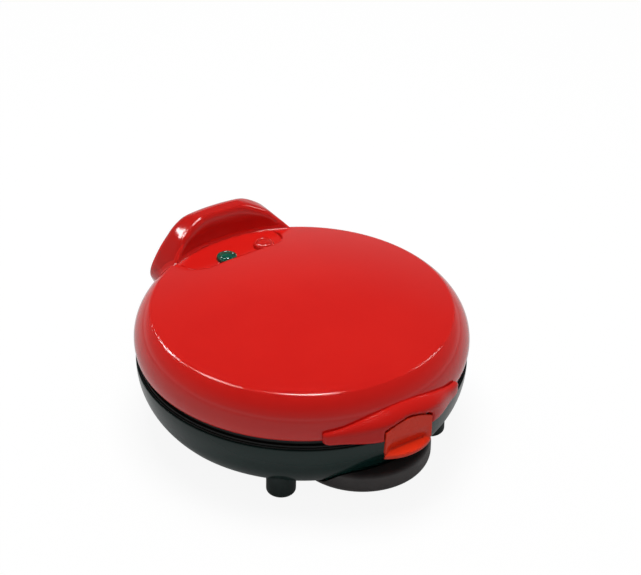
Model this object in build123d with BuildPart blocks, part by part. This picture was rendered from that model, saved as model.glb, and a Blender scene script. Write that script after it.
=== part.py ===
"""Round countertop arepa maker: a red domed lid hinged over a black bowl-shaped base.

Frame: X to the right seen from the front, +Y to the hinge at the rear, +Z up.
The origin is on the floor, below the upright axis of the round body. Millimetres.
"""

from build123d import *
from math import cos, pi, radians, sin, sqrt
import os

os.makedirs("parts", exist_ok=True)

# Lid cover, outer form
lid_rim_radius = 124.6
lid_rim_height = 64.8
lid_shoulder_radius = 122.5
lid_shoulder_height = 86.2
lid_edge_radius = 113.4
lid_edge_height = 97.0
lid_crown_height = 109.0
lid_wall = 2.4
lid_edge_round = 2.5

# Base bowl, outer form
bowl_top_radius = 124.5
bowl_top_height = 55.8
bowl_bulge = 3.95
bowl_belly_height = 34.6
bowl_floor_radius = 108.0
bowl_floor_height = 16.5
bowl_corner_round = 5.0
bowl_wall = 2.6
bowl_hatch_radius = 78.0

# Parting between the lid and the base
parting_height = 58.9
body_gap = 0.6
running_gap = 0.05
seat_gap = 0.1

# Matt collar on the base and frame in the lid
collar_radius = 122.4
collar_flange_radius = 123.3
collar_flange_thickness = 1.2
collar_spigot_radius = 120.3
plate_ledge_thickness = 4.3
frame_clearance = 1.0
frame_flange_step = 0.8
frame_flange_thickness = 2.7
frame_screw_floor = 3.0
plate_ledge_radius = 110.6

# Cooking plates
plate_radius = 112.0
plate_thickness = 3.0
plate_inset = 0.3
mould_radius = 43.0
mould_floor_radius = 39.5
mould_depth = 9.5
mould_spacing = 45.3
mould_floor_round = 4.0
plate_bore_gap = 0.4
post_radius = 3.5
post_ring_radius = 92.0
post_count = 4

# Tubular heating elements and their reflectors
heater_tube_radius = 3.5
heater_ring_radius = 60.0
heater_gap_angle = 40.0
heater_pin_radius = 1.6
heater_pin_length = 9.0
reflector_thickness = 0.8
reflector_flange_radius = 113.2
reflector_radius = 111.4
reflector_wall = 6.5
reflector_floor_radius = 103.0
reflector_depth = 14.0

# Thermostats, fuse and terminal block
thermostat_radius = 8.0
thermostat_height = 7.0
thermostat_cap_radius = 6.0
thermostat_cap_height = 3.0
fuse_radius = 2.2
fuse_length = 14.0
fuse_offset = 20.0
terminal_width = 30.0
terminal_depth = 14.0
terminal_height = 12.0
terminal_offset = 58.0
terminal_hole_radius = 1.8
terminal_pitch = 9.0
terminal_count = 3

# Hood over the hinge
hood_centre = 3.0
hood_arch_height = 122.6
hood_shoulder_half_width = 61.5
hood_shoulder_height = 82.0
hood_skirt_half_width = 47.0
hood_shoulder_round = 14.0
hood_foot_radius = 110.0
hood_crest_radius = 116.0
hood_crest_height = 122.0
hood_brow_radius = 131.0
hood_brow_height = 116.8
hood_skirt_radius = 139.0
hood_crest_round = 4.0
hood_brow_round = 5.0
hood_edge_round = 1.5
hood_half_angle = 40.0

# Sunk platform for the two indicator lenses
platform_height = 98.0
platform_front = 76.0
platform_centre = -2.0
platform_half_width = 43.0
platform_corner_round = 16.0
lens_radius = 7.8
lens_centre = 6.0
lens_offset = 17.0
lens_row = 85.5
lens_dome_height = 2.2
lens_flange_radius = 9.4
lens_flange_thickness = 1.2
lens_socket_radius = 5.0
lens_socket_length = 10.0
lamp_radius = 3.0
lamp_length = 9.0

# Visor handle across the front of the lid
visor_half_angle = 27.8
visor_reach = 137.4
visor_end_reach = 129.2
visor_top_height = 84.0
visor_end_top_height = 72.0
visor_nose_height = 77.5
visor_end_nose_height = 68.5
visor_low_height = 64.0
visor_end_low_height = 63.6
visor_root_radius = 117.0
visor_flat_share = 0.25
visor_crown_power = 1.3
visor_bulge = 1.6
visor_end_round = 2.5
visor_end_corner_round = 3.5
visor_shares = (-1, -0.75, -0.5, -0.25, 0, 0.25, 0.5, 0.75, 1)
visor_hollow_shares = (0.47, 0.60, 0.74, 0.87)
visor_wall = 2.4
visor_rim_clearance = 1.4

# Latch in the arch of the visor
latch_half_width = 20.7
latch_face_reach = 136.0
latch_thickness = 6.0
latch_bottom_height = 48.8
latch_side_height = 71.6
latch_arch_height = 77.4
latch_side_depth = 2.0
latch_side_taper = 4.0
latch_lip_reach = 142.0
latch_lip_corner_reach = 135.5
latch_lip_thickness = 3.0
latch_lip_round = 1.3
latch_corner_round = 4.0
latch_cove_height = 65.0
latch_crease_height = 55.5
latch_cove_depth = 3.6
latch_cove_middle_share = 0.35
latch_gap = 1.2
latch_side_gap = 0.6
latch_pivot_reach = 131.4
latch_pivot_height = 72.6
latch_knuckle_radius = 3.0
latch_pin_radius = 1.25
latch_pin_half_length = 24.0
latch_bead_height = 54.6
latch_bead_radius = 1.6
latch_bead_reach = 127.2
latch_bead_half_width = 9.0
latch_bead_root = 2.2
pocket_floor_reach = 127.4
spring_radius = 2.4
spring_length = 9.0
spring_leg_length = 6.0
spring_leg_radius = 0.6

# Catch on the base under the latch
catch_half_width = 10.0
catch_reach = 126.7
catch_thickness = 1.8

# Hinge at the rear
hinge_standoff = 4.2
hinge_height = 60.5
hinge_knuckle_radius = 4.6
hinge_pin_radius = 2.0
hinge_lug_inner = 12.0
hinge_lug_width = 8.0
hinge_ear_gap = 0.4
hinge_ear_width = 7.0
hinge_ear_thickness = 3.0
hinge_ear_inset = 15.0
hinge_arm_width = 6.4
ear_screw_row = 116.2

# Feet
foot_radius = 11.0
foot_offset_x = 68.0
foot_offset_y = 73.5
foot_round = 3.0
foot_pad_radius = 7.0
foot_pad_thickness = 3.0
foot_pad_proud = 1.4

# Grip under the front of the base
grip_radius = 52.0
grip_centre = 78.0
grip_bottom_height = 9.5
grip_top_height = 27.5
grip_bottom_round = 8.0
grip_top_round = 4.0
grip_rear = 74.0
grip_gap = 1.0
grip_screw_offset = 24.0
grip_screw_row = 94.0
grip_pad_depth = 10.0

# Bottom cover, vents and cord gland
cover_radius = 86.0
cover_thickness = 2.2
vent_width = 3.5
vent_length = 34.0
vent_pitch = 10.0
vent_count = 7
gland_height = 36.0
gland_bore_radius = 3.4
gland_radius = 6.0
gland_flare_radius = 9.0
gland_tip_radius = 6.6
gland_collar_radius = 8.0
gland_collar_thickness = 2.5

# Screws and their bosses
screw_radius = 1.5
screw_head_radius = 3.0
screw_head_height = 2.0
boss_radius = 4.2
boss_ring_radius = 116.4
boss_angles = (35.0, 145.0, 205.0, 335.0)
screw_grip_length = 7.0
bottom_screw_ring_radius = 82.0
bottom_screw_count = 4

# Chamfer of small round ends, by their size
end_chamfer_share = 0.25

# One overrun serves all cuts
overrun = 30.0

# Directions in which an inset moves the corners of the two shells, per unit of inset
lid_shoulder_inset_share = (0.90, 0.43)
lid_edge_inset_share = (0.45, 0.96)
bowl_belly_inset_share = (0.87, -0.49)
bowl_floor_inset_share = (0.60, -1.00)

# Sizes that follow from the ones above
collar_top_height = parting_height - body_gap / 2
collar_flange_top = bowl_top_height + collar_flange_thickness
frame_bottom_height = parting_height + body_gap / 2
plate_bore_radius = plate_radius + plate_bore_gap
bowl_belly_radius = (bowl_top_radius + bowl_floor_radius) / 2 + bowl_bulge
frame_flange_radius = lid_rim_radius - lid_wall - frame_clearance
frame_radius = frame_flange_radius - frame_flange_step
hinge_reach = collar_flange_radius + hinge_standoff
lower_plate_top = collar_top_height - plate_inset
lower_plate_bottom = lower_plate_top - plate_thickness
upper_plate_bottom = frame_bottom_height + plate_inset
upper_plate_top = upper_plate_bottom + plate_thickness
collar_ledge_height = lower_plate_bottom - plate_ledge_thickness
frame_top_height = upper_plate_top + plate_ledge_thickness
frame_flange_height = frame_top_height - frame_flange_thickness
frame_screw_seat = frame_top_height - frame_screw_floor
mould_wall_radius = mould_radius + plate_thickness
mould_wall_floor_radius = mould_floor_radius + plate_thickness
mould_reach = mould_depth + plate_thickness
heater_drop = mould_reach + heater_tube_radius
reflector_floor_drop = plate_thickness + plate_ledge_thickness + reflector_depth
post_length = reflector_floor_drop - plate_thickness - reflector_thickness
ear_seat_height = frame_top_height + hinge_ear_thickness
cover_bottom_height = bowl_floor_height + bowl_wall
cover_top_height = cover_bottom_height + cover_thickness
visor_end_half_width = visor_end_reach * sin(radians(visor_half_angle))
visor_end_setback = visor_end_reach * cos(radians(visor_half_angle))
visor_end_middle_height = (visor_end_low_height + visor_end_nose_height) / 2
gland_inner_reach = bowl_belly_radius - bowl_wall - gland_collar_thickness
gland_wall_reach = bowl_belly_radius - bowl_wall / 2
hinge_lug_centre = hinge_lug_inner + hinge_lug_width / 2
hinge_ear_centre = hinge_lug_inner + hinge_lug_width + hinge_ear_gap + hinge_ear_width / 2


def ring_places(radius, angles):
    """Points on a ring round the body axis."""
    return [(radius * cos(radians(a)), radius * sin(radians(a))) for a in angles]


foot_places = {
    "front_left": (-foot_offset_x, -foot_offset_y),
    "front_right": (foot_offset_x, -foot_offset_y),
    "rear_left": (-foot_offset_x, foot_offset_y),
    "rear_right": (foot_offset_x, foot_offset_y),
}
mould_places = [(x * mould_spacing, y * mould_spacing) for x in (-1, 1) for y in (-1, 1)]
boss_places = ring_places(boss_ring_radius, boss_angles)
post_places = ring_places(post_ring_radius, [360 * n / post_count for n in range(post_count)])
heater_pin_places = ring_places(
    heater_ring_radius, (90 - heater_gap_angle / 2, 90 + heater_gap_angle / 2)
)
ear_screw_places = [(side * hinge_ear_centre, ear_screw_row) for side in (-1, 1)]
grip_screw_places = [(side * grip_screw_offset, -grip_screw_row) for side in (-1, 1)]
bottom_screw_places = ring_places(
    bottom_screw_ring_radius, [360 * (n + 0.5) / bottom_screw_count for n in range(bottom_screw_count)]
)
hinge_axis = Location((0, hinge_reach, hinge_height), (0, 90, 0))
latch_axis = Location((0, -latch_pivot_reach, latch_pivot_height), (0, 90, 0))


def finish(piece, name):
    """Label one finished piece and write it."""
    piece.part.label = name
    export_step(piece.part, f"parts/{name}.step")


def lid_form(inset):
    """Round outer form of the lid, moved inwards by the inset, open below."""
    shoulder = (
        lid_shoulder_radius - inset * lid_shoulder_inset_share[0],
        lid_shoulder_height - inset * lid_shoulder_inset_share[1],
    )
    edge = (
        lid_edge_radius - inset * lid_edge_inset_share[0],
        lid_edge_height - inset * lid_edge_inset_share[1],
    )
    crown = (0, lid_crown_height - inset)
    rise = crown[1] - edge[1]
    dome_radius = (edge[0] ** 2 + rise**2) / (2 * rise)
    half_way = edge[0] / 2
    dome_middle = (half_way, crown[1] - dome_radius + sqrt(dome_radius**2 - half_way**2))
    with BuildPart() as form:
        with BuildSketch(Plane.XZ) as section:
            with BuildLine():
                side = ThreePointArc((lid_rim_radius - inset, lid_rim_height), shoulder, edge)
                dome = ThreePointArc(side @ 1, dome_middle, crown)
                Line(dome @ 1, (0, lid_rim_height))
                Line((0, lid_rim_height), side @ 0)
            make_face()
            crease = section.vertices().sort_by_distance(edge)[0]
            fillet(crease, lid_edge_round)
        revolve(axis=Axis.Z)
    return form.part


def bowl_form(inset):
    """Round outer form of the base bowl, moved inwards by the inset."""
    belly = (
        bowl_belly_radius - inset * bowl_belly_inset_share[0],
        bowl_belly_height - inset * bowl_belly_inset_share[1],
    )
    corner = (
        bowl_floor_radius - inset * bowl_floor_inset_share[0],
        bowl_floor_height - inset * bowl_floor_inset_share[1],
    )
    with BuildPart() as form:
        with BuildSketch(Plane.XZ) as section:
            with BuildLine():
                side = ThreePointArc(corner, belly, (bowl_top_radius - inset, bowl_top_height))
                Line(side @ 1, (0, bowl_top_height))
                Line((0, bowl_top_height), (0, corner[1]))
                Line((0, corner[1]), side @ 0)
            make_face()
            foot_corner = section.vertices().sort_by_distance(corner)[0]
            fillet(foot_corner, bowl_corner_round)
        revolve(axis=Axis.Z)
    return form.part


def platform_form(margin):
    """Space above the sunk lens platform, grown outwards by the margin."""
    length = lid_edge_radius - platform_front
    with BuildPart() as form:
        with BuildSketch(Plane.XY.offset(platform_height - margin)):
            with Locations((platform_centre, platform_front - margin)):
                RectangleRounded(
                    2 * (platform_half_width + margin),
                    2 * length,
                    platform_corner_round + margin,
                    align=(Align.CENTER, Align.MIN),
                )
        extrude(amount=overrun)
    return form.part


def hood_form(inset):
    """Arched hood over the hinge, moved inwards by the inset."""
    crest = (hood_crest_radius + inset, hood_crest_height - inset)
    brow = (hood_brow_radius - inset, hood_brow_height - inset)
    shoulder_x = hood_shoulder_half_width - inset
    skirt_x = hood_skirt_half_width - inset
    with BuildPart() as ring:
        with BuildSketch(Plane.XZ) as section:
            with BuildLine():
                Polyline(
                    (hood_foot_radius + inset, platform_height - inset),
                    crest,
                    brow,
                    (hood_skirt_radius - inset, lid_rim_height),
                    (lid_edge_radius, lid_rim_height),
                    (lid_edge_radius, lid_shoulder_height),
                    (hood_foot_radius + inset, lid_shoulder_height),
                    close=True,
                )
            make_face()
            fillet(section.vertices().sort_by_distance(crest)[0], hood_crest_round)
            fillet(section.vertices().sort_by_distance(brow)[0], hood_brow_round)
        revolve(axis=Axis.Z, revolution_arc=2 * hood_half_angle)
    with BuildPart() as hood:
        add(ring.part.rotate(Axis.Z, 90 - hood_half_angle))
        with BuildSketch(Plane.XZ) as arch:
            with BuildLine():
                crown = ThreePointArc(
                    (hood_centre - shoulder_x, hood_shoulder_height),
                    (hood_centre, hood_arch_height - inset),
                    (hood_centre + shoulder_x, hood_shoulder_height),
                )
                Polyline(
                    crown @ 1,
                    (hood_centre + skirt_x, bowl_top_height),
                    (hood_centre - skirt_x, bowl_top_height),
                    crown @ 0,
                )
            make_face()
            fillet(arch.vertices().group_by(Axis.Y)[-1], hood_shoulder_round)
        extrude(amount=-hood_skirt_radius - overrun, mode=Mode.INTERSECT)
        if inset == 0:
            ridges = hood.edges().filter_by(GeomType.CIRCLE, reverse=True)
            tall = ridges.filter_by_position(Axis.Z, platform_height + lid_wall / 2, hood_crest_height)
            fillet(tall, hood_edge_round)
    return hood.part


def swell(share):
    """1 in the flat middle of the visor, easing to 0 at its ends."""
    run = min(1, (1 - abs(share)) / (1 - visor_flat_share))
    return run * run * (3 - 2 * run)


def visor_form(inset, shares):
    """Visor swept round the front of the lid, lofted through upright sections."""
    with BuildPart() as form:
        for share in shares:
            angle = share * visor_half_angle
            fullness = swell(share)
            crown = cos(pi / 2 * share) ** visor_crown_power
            reach = visor_end_reach + (visor_reach - visor_end_reach) * fullness - inset
            nose = visor_end_nose_height + (visor_nose_height - visor_end_nose_height) * fullness
            top = visor_end_top_height + (visor_top_height - visor_end_top_height) * crown
            low = visor_end_low_height + (visor_low_height - visor_end_low_height) * fullness
            brow = (lid_rim_radius, top - inset)
            tip = (reach, nose - inset)
            middle = (
                (brow[0] + tip[0]) / 2 + visor_bulge,
                (brow[1] + tip[1]) / 2 + visor_bulge,
            )
            foot = low if inset == 0 else low - overrun
            outwards = (sin(radians(angle)), -cos(radians(angle)), 0)
            facing = (-cos(radians(angle)), -sin(radians(angle)), 0)
            with BuildSketch(Plane((0, 0, 0), x_dir=outwards, z_dir=facing)):
                with BuildLine():
                    front = Line((reach, foot), tip)
                    slope = ThreePointArc(front @ 1, middle, brow)
                    Polyline(
                        slope @ 1,
                        (visor_root_radius, brow[1]),
                        (visor_root_radius, foot),
                        front @ 0,
                    )
                make_face()
        loft()
    return form.part


def latch_outline(side_gap, arch_gap):
    """Arched front outline of the latch, grown by the two gaps."""
    half = latch_half_width + side_gap
    with BuildSketch(Plane.XZ) as outline:
        with BuildLine():
            arch = ThreePointArc(
                (-half, latch_side_height + arch_gap),
                (0, latch_arch_height + arch_gap),
                (half, latch_side_height + arch_gap),
            )
            Polyline(
                arch @ 1,
                (half, latch_bottom_height - arch_gap),
                (-half, latch_bottom_height - arch_gap),
                arch @ 0,
            )
        make_face()
    return outline.sketch


def mould_form(radius, floor_radius, floor_round, depth):
    """One round tapered cup, its mouth at height zero."""
    with BuildPart() as cup:
        with BuildSketch(Plane.XZ) as section:
            with BuildLine():
                Polyline((0, 0), (radius, 0), (floor_radius, -depth), (0, -depth), close=True)
            make_face()
            fillet(section.vertices().sort_by_distance((floor_radius, -depth))[0], floor_round)
        revolve(axis=Axis.Z)
    return cup.part


def cooking_plate():
    """Four-well plate with screw posts, its cooking face at height zero."""
    outside = mould_form(
        mould_wall_radius, mould_wall_floor_radius, mould_floor_round + plate_thickness, mould_reach
    )
    inside = mould_form(mould_radius, mould_floor_radius, mould_floor_round, mould_depth)
    with BuildPart() as plate:
        with BuildSketch(Plane.XY):
            Circle(plate_radius)
        extrude(amount=-plate_thickness)
        with Locations(*mould_places):
            add(outside)
            add(inside, mode=Mode.SUBTRACT)
        with BuildSketch(Plane.XY.offset(-plate_thickness)):
            with Locations(*post_places):
                Circle(post_radius)
        extrude(amount=-post_length)
        with BuildSketch(Plane.XY.offset(-plate_thickness - post_length)):
            with Locations(*post_places):
                Circle(screw_radius + running_gap)
        extrude(amount=screw_grip_length, mode=Mode.SUBTRACT)
    return plate.part


def heater():
    """Open tubular ring with its two connection pins, cooking face at height zero."""
    with BuildPart() as tube:
        with BuildSketch(Plane.XZ):
            with Locations((heater_ring_radius, -heater_drop)):
                Circle(heater_tube_radius)
        revolve(axis=Axis.Z, revolution_arc=360 - heater_gap_angle)
    with BuildPart() as element:
        add(tube.part.rotate(Axis.Z, 90 + heater_gap_angle / 2))
        with BuildSketch(Plane.XY.offset(-heater_drop)):
            with Locations(*heater_pin_places):
                Circle(heater_pin_radius)
        extrude(amount=-heater_tube_radius - heater_pin_length)
    return element.part


def reflector():
    """Thin dish behind a heater, its flange against the plate ledge at height zero."""
    with BuildPart() as dish:
        for inset, mode in ((0, Mode.ADD), (reflector_thickness, Mode.SUBTRACT)):
            with BuildSketch(Plane.XZ):
                with BuildLine():
                    Polyline(
                        (0, 0),
                        (reflector_radius - inset, 0),
                        (reflector_radius - inset, -reflector_wall),
                        (reflector_floor_radius - inset, -reflector_depth + inset),
                        (0, -reflector_depth + inset),
                        close=True,
                    )
                make_face()
            revolve(axis=Axis.Z, mode=mode)
        with BuildSketch(Plane.XY.offset(-reflector_thickness)):
            Circle(reflector_flange_radius)
            Circle(reflector_radius - reflector_thickness, mode=Mode.SUBTRACT)
            with Locations(*boss_places):
                Circle(boss_radius + body_gap / 2, mode=Mode.SUBTRACT)
        extrude(amount=reflector_thickness)
        with BuildSketch(Plane.XY.offset(-reflector_depth)):
            with Locations(*post_places):
                Circle(screw_radius + running_gap)
            with Locations(*heater_pin_places):
                Circle(heater_tube_radius)
        extrude(amount=reflector_thickness, mode=Mode.SUBTRACT)
    return dish.part


def thermostat():
    """Snap-disc thermostat, its sensing face at height zero."""
    with BuildPart() as capsule:
        with BuildSketch(Plane.XY):
            Circle(thermostat_radius)
        extrude(amount=-thermostat_height)
        with BuildSketch(Plane.XY.offset(-thermostat_height)):
            Circle(thermostat_cap_radius)
        extrude(amount=-thermostat_cap_height)
        chamfer(capsule.edges().group_by(Axis.Z)[0], thermostat_cap_height * end_chamfer_share)
    return capsule.part


def indicator_lens():
    """Domed push-in lens with its lamp socket, platform surface at height zero."""
    dome_radius = (lens_radius**2 + lens_dome_height**2) / (2 * lens_dome_height)
    with BuildPart() as lens:
        with BuildSketch(Plane.XZ):
            with BuildLine():
                cap = RadiusArc((lens_radius, 0), (0, lens_dome_height), -dome_radius)
                Polyline(
                    cap @ 1,
                    (0, -lens_socket_length),
                    (lens_socket_radius, -lens_socket_length),
                    (lens_socket_radius, -lid_wall - lens_flange_thickness),
                    (lens_flange_radius, -lid_wall - lens_flange_thickness),
                    (lens_flange_radius, -lid_wall),
                    (lens_radius, -lid_wall),
                    cap @ 0,
                )
            make_face()
        revolve(axis=Axis.Z)
        with BuildSketch(Plane.XY.offset(-lens_socket_length)):
            Circle(lamp_radius)
        extrude(amount=lamp_length, mode=Mode.SUBTRACT)
    return lens.part


def screws(places, seat, direction):
    """Set of pan-head screws on one seat height, their shanks up (1) or down (-1)."""
    with BuildPart() as group:
        with BuildSketch(Plane.XY.offset(seat)):
            with Locations(*places):
                Circle(screw_head_radius)
        extrude(amount=-direction * screw_head_height)
        with BuildSketch(Plane.XY.offset(seat)):
            with Locations(*places):
                Circle(screw_radius)
        extrude(amount=direction * screw_grip_length)
    return group


lid_solid = lid_form(0)
bowl_solid = bowl_form(0)

# Lid cover: red moulded shell with the hood, the lens platform and four screw bosses
with BuildPart() as lid_room:
    add(lid_form(lid_wall))
    add(platform_form(lid_wall), mode=Mode.SUBTRACT)
    add(hood_form(lid_wall))

with BuildPart() as lid_bosses:
    with BuildSketch(Plane.XY.offset(frame_top_height)):
        with Locations(*boss_places):
            Circle(boss_radius)
    extrude(amount=overrun)
    add(lid_form(lid_wall / 2), mode=Mode.INTERSECT)
    with BuildSketch(Plane.XY.offset(frame_top_height)):
        with Locations(*boss_places):
            Circle(screw_radius + running_gap)
    extrude(amount=screw_grip_length, mode=Mode.SUBTRACT)

with BuildPart() as lid_cover:
    add(lid_solid)
    add(platform_form(0), mode=Mode.SUBTRACT)
    add(hood_form(0))
    add(lid_room.part, mode=Mode.SUBTRACT)
    for side in (-1, 1):
        with Locations((lens_centre + side * lens_offset, lens_row, platform_height)):
            Cylinder(lens_radius + seat_gap, 2 * lid_wall + seat_gap, mode=Mode.SUBTRACT)
    add(lid_bosses.part)
finish(lid_cover, "lid_cover")

# Lid frame: black ring in the mouth of the cover that carries the upper plate
with BuildPart() as lid_frame:
    with BuildSketch(Plane.XZ):
        with BuildLine():
            Polyline(
                (plate_bore_radius, frame_bottom_height),
                (frame_radius, frame_bottom_height),
                (frame_radius, frame_flange_height),
                (frame_flange_radius, frame_flange_height),
                (frame_flange_radius, frame_top_height),
                (plate_ledge_radius, frame_top_height),
                (plate_ledge_radius, upper_plate_top),
                (plate_bore_radius, upper_plate_top),
                close=True,
            )
        make_face()
    revolve(axis=Axis.Z)
    with BuildSketch(Plane.XY.offset(frame_bottom_height)):
        with Locations(*boss_places):
            Circle(screw_head_radius + seat_gap)
    extrude(amount=frame_screw_seat - frame_bottom_height, mode=Mode.SUBTRACT)
    with BuildSketch(Plane.XY.offset(frame_top_height)):
        with Locations(*boss_places, *ear_screw_places):
            Circle(screw_radius + running_gap)
    extrude(amount=hinge_ear_thickness - screw_grip_length, mode=Mode.SUBTRACT)
finish(lid_frame, "lid_frame")

# Upper cooking plate with its heater, reflector and thermostat, upside down in the lid
with BuildPart() as upper_plate:
    with Locations((0, 0, upper_plate_bottom)):
        add(cooking_plate().mirror(Plane.XY))
finish(upper_plate, "upper_plate")

with BuildPart() as upper_heater:
    with Locations((0, 0, upper_plate_bottom)):
        add(heater().mirror(Plane.XY))
finish(upper_heater, "upper_heater")

with BuildPart() as upper_reflector:
    with Locations((0, 0, frame_top_height)):
        add(reflector().mirror(Plane.XY))
finish(upper_reflector, "upper_reflector")

with BuildPart() as upper_thermostat:
    with Locations((0, 0, upper_plate_top)):
        add(thermostat().mirror(Plane.XY))
finish(upper_thermostat, "upper_thermostat")

# Lower cooking plate with its heater, reflector, thermostat and thermal fuse
with BuildPart() as lower_plate:
    with Locations((0, 0, lower_plate_top)):
        add(cooking_plate())
finish(lower_plate, "lower_plate")

with BuildPart() as lower_heater:
    with Locations((0, 0, lower_plate_top)):
        add(heater())
finish(lower_heater, "lower_heater")

with BuildPart() as lower_reflector:
    with Locations((0, 0, collar_ledge_height)):
        add(reflector())
finish(lower_reflector, "lower_reflector")

with BuildPart() as lower_thermostat:
    with Locations((0, 0, lower_plate_bottom)):
        add(thermostat())
finish(lower_thermostat, "lower_thermostat")

with BuildPart() as thermal_fuse:
    with Locations(Location((0, -fuse_offset, lower_plate_bottom - fuse_radius), (90, 0, 0))):
        Cylinder(fuse_radius, fuse_length)
    chamfer(thermal_fuse.edges().filter_by(GeomType.CIRCLE), fuse_radius * end_chamfer_share)
finish(thermal_fuse, "thermal_fuse")

# Indicator lenses and their lamps on the sunk platform
for name, side in (("ready", -1), ("power", 1)):
    with BuildPart() as lens:
        with Locations((lens_centre + side * lens_offset, lens_row, platform_height)):
            add(indicator_lens())
    finish(lens, f"{name}_lens")
    with BuildPart() as lamp:
        with BuildSketch(Plane.XY.offset(platform_height - lens_socket_length)):
            with Locations((lens_centre + side * lens_offset, lens_row)):
                Circle(lamp_radius)
        extrude(amount=lamp_length)
        fillet(lamp.edges().group_by(Axis.Z)[-1], lamp_radius / 2)
    finish(lamp, f"{name}_lamp")

# Visor handle: hollow on each side of the pocket that takes the latch
with BuildPart() as visor_hollows:
    for side in (-1, 1):
        add(visor_form(visor_wall, sorted(side * share for share in visor_hollow_shares)))

with BuildPart() as visor_handle:
    add(visor_form(0, visor_shares))
    for side in (-1, 1):
        on_corner = (side * visor_end_half_width, -visor_end_setback, visor_end_middle_height)
        fillet(visor_handle.edges().sort_by_distance(on_corner)[0], visor_end_round)
    with BuildSketch(Plane.XZ) as front:
        with Locations((0, visor_low_height)):
            Rectangle(2 * visor_end_half_width, overrun, align=(Align.CENTER, Align.MIN))
        fillet(front.vertices().group_by(Axis.Y)[0], visor_end_corner_round)
    extrude(amount=2 * visor_reach, mode=Mode.INTERSECT)
    add(visor_hollows.part, mode=Mode.SUBTRACT)
    add(lid_solid, mode=Mode.SUBTRACT)
    with BuildSketch(Plane.XY.offset(lid_rim_height)):
        Circle(lid_rim_radius + visor_rim_clearance)
    extrude(amount=-overrun, mode=Mode.SUBTRACT)
    with BuildSketch(Plane.XZ.offset(pocket_floor_reach)):
        add(latch_outline(latch_side_gap, latch_gap))
    extrude(amount=overrun, mode=Mode.SUBTRACT)
    with Locations(latch_axis):
        Cylinder(latch_pin_radius + running_gap, 2 * latch_pin_half_length, mode=Mode.SUBTRACT)
finish(visor_handle, "visor_handle")

with BuildPart() as latch_pin:
    with Locations(latch_axis):
        Cylinder(latch_pin_radius, 2 * latch_pin_half_length - 2 * seat_gap)
finish(latch_pin, "latch_pin")

# Latch: arched plate on the pin, a cove over the finger lip and a bead behind
with BuildPart() as latch:
    with BuildSketch(Plane.YZ) as section:
        with BuildLine():
            face = Line(
                (-latch_face_reach, latch_arch_height), (-latch_face_reach, latch_cove_height)
            )
            cove = ThreePointArc(
                face @ 1,
                (
                    latch_cove_middle_share * latch_cove_depth - latch_face_reach,
                    (latch_cove_height + latch_crease_height) / 2,
                ),
                (latch_cove_depth - latch_face_reach, latch_crease_height),
            )
            Polyline(
                cove @ 1,
                (-latch_lip_reach, latch_bottom_height + latch_lip_thickness),
                (-latch_lip_reach, latch_bottom_height),
                (latch_thickness - latch_face_reach, latch_bottom_height),
                (latch_thickness - latch_face_reach, latch_arch_height),
                face @ 0,
            )
        make_face()
        fillet(section.vertices().group_by(Axis.X)[0], latch_lip_round)
        with Locations((-latch_pivot_reach, latch_pivot_height)):
            Circle(latch_knuckle_radius)
    extrude(amount=latch_half_width, both=True)
    with BuildSketch(Plane.XZ) as outline:
        add(latch_outline(0, 0))
        fillet(outline.vertices().group_by(Axis.Y)[0], latch_corner_round)
    extrude(amount=latch_lip_reach, mode=Mode.INTERSECT)
    with BuildSketch(Plane.XY.offset(latch_bottom_height)):
        with BuildLine():
            lip = ThreePointArc(
                (-latch_half_width, -latch_lip_corner_reach),
                (0, -latch_lip_reach),
                (latch_half_width, -latch_lip_corner_reach),
            )
            Polyline(
                lip @ 1,
                (latch_half_width, latch_side_depth - latch_face_reach),
                (latch_half_width - latch_side_taper, latch_thickness - latch_face_reach),
                (latch_half_width - latch_side_taper, 0),
                (latch_side_taper - latch_half_width, 0),
                (latch_side_taper - latch_half_width, latch_thickness - latch_face_reach),
                (-latch_half_width, latch_side_depth - latch_face_reach),
                lip @ 0,
            )
        make_face()
    extrude(amount=latch_arch_height, mode=Mode.INTERSECT)
    with BuildSketch(Plane.YZ):
        with Locations((-latch_bead_reach - latch_bead_radius, latch_bead_height)):
            Circle(latch_bead_radius)
            Rectangle(latch_bead_root, 2 * latch_bead_radius, align=(Align.MAX, Align.CENTER))
    extrude(amount=latch_bead_half_width, both=True)
    with Locations(latch_axis):
        Cylinder(latch_pin_radius + running_gap, overrun * 2, mode=Mode.SUBTRACT)
    with BuildSketch(Plane.YZ):
        with Locations((-latch_pivot_reach, latch_pivot_height)):
            Circle(spring_radius + latch_side_gap)
            Rectangle(
                overrun, 2 * (spring_radius + latch_side_gap), align=(Align.MIN, Align.CENTER)
            )
    extrude(amount=spring_length / 2 + latch_side_gap, both=True, mode=Mode.SUBTRACT)
finish(latch, "latch")

with BuildPart() as latch_spring:
    with Locations(latch_axis):
        Cylinder(spring_radius, spring_length)
        Cylinder(latch_pin_radius, spring_length, mode=Mode.SUBTRACT)
    with BuildSketch(Plane.XY.offset(latch_pivot_height)):
        with Locations((0, -pocket_floor_reach)):
            Rectangle(
                2 * spring_leg_radius,
                latch_pivot_reach - pocket_floor_reach - latch_pin_radius - spring_leg_radius,
                align=(Align.CENTER, Align.MAX),
            )
    extrude(amount=2 * spring_leg_radius)
    with BuildSketch(Plane.XY.offset(latch_pivot_height)):
        with Locations((0, -pocket_floor_reach)):
            Rectangle(
                2 * spring_leg_radius, 2 * spring_leg_radius, align=(Align.CENTER, Align.MAX)
            )
    extrude(amount=-spring_leg_length)
finish(latch_spring, "latch_spring")

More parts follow.
